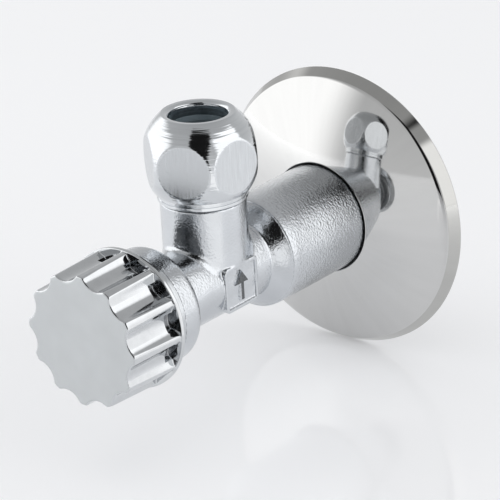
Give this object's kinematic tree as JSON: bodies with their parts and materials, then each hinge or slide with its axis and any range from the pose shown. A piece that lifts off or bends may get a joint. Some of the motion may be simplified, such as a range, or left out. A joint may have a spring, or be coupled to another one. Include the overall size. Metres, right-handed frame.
{
  "type": "angle stop valve",
  "caption": "Chromed angle stop valve: threaded wall inlet with sliding rosette, ball-shaped compression nut on the upward outlet, fluted handle on the main axis.",
  "frame": {"origin": "on the valve's main axis in the plane of the wall, where the rosette's back rim lies", "axes": "+Y along the inlet thread, into the wall; +Z along the outlet, up to the compression nut; the handle is on the -Y side"},
  "size_m": [0.0646, 0.1014, 0.0692],
  "materials": {
    "body_chrome": "chrome plate over a lightly grained brass casting",
    "rosette_chrome": "mirror-polished chrome on pressed sheet",
    "nut_chrome": "chrome plate with turning lines on the dome and brushed flats",
    "handle_chrome": "chrome-plated moulded plastic, bright flutes and a satin face",
    "bare_brass": "machined brass",
    "steel": "stainless steel",
    "black_rubber": "black rubber",
    "slate_rubber": "slate grey rubber",
    "slate_plastic": "slate grey acetal",
    "white_plastic": "white plastic",
    "fibre": "red vulcanised fibre"
  },
  "bodies": {
    "body": {"valve_body": "body_chrome", "inlet_seal": "white_plastic", "bonnet": "body_chrome", "bonnet_gasket": "fibre", "gland_packing": "white_plastic", "gland_washer": "bare_brass", "gland_nut": "bare_brass", "compression_seal": "slate_rubber"},
    "rosette": {"escutcheon": "rosette_chrome", "escutcheon_ring": "black_rubber"},
    "jumper": {"disc_holder": "bare_brass", "seat_washer": "black_rubber", "seat_plate": "bare_brass", "seat_screw": "steel"},
    "spindle_group": {"spindle": "bare_brass", "handle_insert": "white_plastic", "handle_clip": "steel", "handle": "handle_chrome"},
    "nut_carrier": {"slip_ring": "slate_plastic"},
    "nut": {"compression_nut": "nut_chrome"}
  },
  "joints": [
    {"name": "rosette_slide", "type": "slide", "parent": "body", "child": "rosette", "axis": [0, -1, 0], "range_m": [0, 0.022]},
    {"name": "stem_rise", "type": "slide", "parent": "body", "child": "jumper", "axis": [0, -1, 0], "range_m": [0, 0.00375]},
    {"name": "handle_turn", "type": "hinge", "parent": "jumper", "child": "spindle_group", "pos_m": [0, -0.048, 0], "axis": [0, -1, 0], "range_deg": [0, 1080]},
    {"name": "nut_travel", "type": "slide", "parent": "body", "child": "nut_carrier", "axis": [0, 0, 1], "range_m": [0, 0.00668]},
    {"name": "nut_turn", "type": "hinge", "parent": "nut_carrier", "child": "nut", "pos_m": [0, -0.0473, 0.0333], "axis": [0, 0, 1], "range_deg": [0, 1800]}
  ],
  "couplings": [
    {"joint": "handle_turn", "follows": "stem_rise", "rad_per_m": 5026.5},
    {"joint": "nut_turn", "follows": "nut_travel", "rad_per_m": 4699.5}
  ]
}
